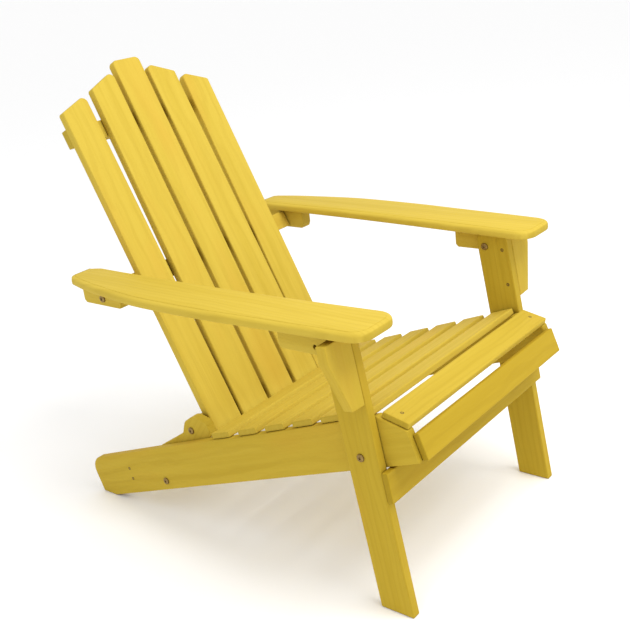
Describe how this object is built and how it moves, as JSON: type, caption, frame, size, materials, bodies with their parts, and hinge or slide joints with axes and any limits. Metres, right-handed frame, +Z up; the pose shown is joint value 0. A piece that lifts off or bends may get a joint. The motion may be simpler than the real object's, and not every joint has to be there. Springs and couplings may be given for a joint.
{
  "type": "folding adirondack chair",
  "caption": "Folding slatted garden chair with a low raked seat, a tall leaning slat back and broad flat arms; the back rides on two links and the front legs fold forward.",
  "frame": {"origin": "centre of the overall box on the ground, standing open", "axes": "+X across the chair to its own left-hand side as seen from the front, -Y the way the sitter faces, +Z up"},
  "size_m": [0.7288, 0.941, 0.9598],
  "materials": {
    "yellow_wood": "satin yellow stain over planed softwood",
    "zinc_plate": "yellow zinc plate on steel"
  },
  "bodies": {
    "seat_frame": {"stringer_left": "yellow_wood", "stringer_right": "yellow_wood", "seat_slat_1": "yellow_wood", "seat_slat_2": "yellow_wood", "seat_slat_3": "yellow_wood", "seat_slat_4": "yellow_wood", "seat_slat_5": "yellow_wood", "seat_slat_6": "yellow_wood", "seat_slat_7": "yellow_wood", "front_apron": "yellow_wood", "rear_stretcher": "yellow_wood", "leg_bolt_left": "zinc_plate", "leg_bolt_right": "zinc_plate", "leg_nut_left": "zinc_plate", "leg_nut_right": "zinc_plate", "link_bolt_left": "zinc_plate", "link_bolt_right": "zinc_plate", "link_nut_left": "zinc_plate", "link_nut_right": "zinc_plate"},
    "front_legs": {"front_leg_left": "yellow_wood", "front_leg_right": "yellow_wood", "lower_stretcher": "yellow_wood", "corbel_left": "yellow_wood", "corbel_right": "yellow_wood", "arm_front_bolt_left": "zinc_plate", "arm_front_bolt_right": "zinc_plate"},
    "back_links": {"back_link_left": "yellow_wood", "back_link_right": "yellow_wood"},
    "back": {"back_slat_1": "yellow_wood", "back_slat_2": "yellow_wood", "back_slat_3": "yellow_wood", "back_slat_4": "yellow_wood", "back_slat_5": "yellow_wood", "upper_rail": "yellow_wood", "arm_rail": "yellow_wood", "lower_rail": "yellow_wood", "back_bolt_left": "zinc_plate", "back_bolt_right": "zinc_plate", "arm_rear_bolt_left": "zinc_plate", "arm_rear_bolt_right": "zinc_plate"},
    "arms": {"arm_left": "yellow_wood", "arm_right": "yellow_wood", "front_cleat_left": "yellow_wood", "front_cleat_right": "yellow_wood", "rear_cleat_left": "yellow_wood", "rear_cleat_right": "yellow_wood"}
  },
  "joints": [
    {"name": "legs_fold", "type": "hinge", "parent": "seat_frame", "child": "front_legs", "pos_m": [0, -0.34976, 0.30868], "axis": [1, 0, 0], "range_deg": [0, 78]},
    {"name": "links_swing", "type": "hinge", "parent": "seat_frame", "child": "back_links", "pos_m": [0, 0.21514, 0.09267], "axis": [1, 0, 0], "range_deg": [-69.21, 0]},
    {"name": "back_fold", "type": "hinge", "parent": "back_links", "child": "back", "pos_m": [0, 0.12716, 0.22803], "axis": [1, 0, 0], "range_deg": [0, 164.21]},
    {"name": "arms_fold", "type": "hinge", "parent": "back", "child": "arms", "pos_m": [0, 0.25114, 0.52899], "axis": [1, 0, 0], "range_deg": [-103.94, 0]}
  ],
  "couplings": [
    {"joint": "links_swing", "follows": "legs_fold", "ratio": -0.88702},
    {"joint": "back_fold", "follows": "legs_fold", "ratio": 2.105},
    {"joint": "arms_fold", "follows": "legs_fold", "ratio": -1.3323}
  ]
}
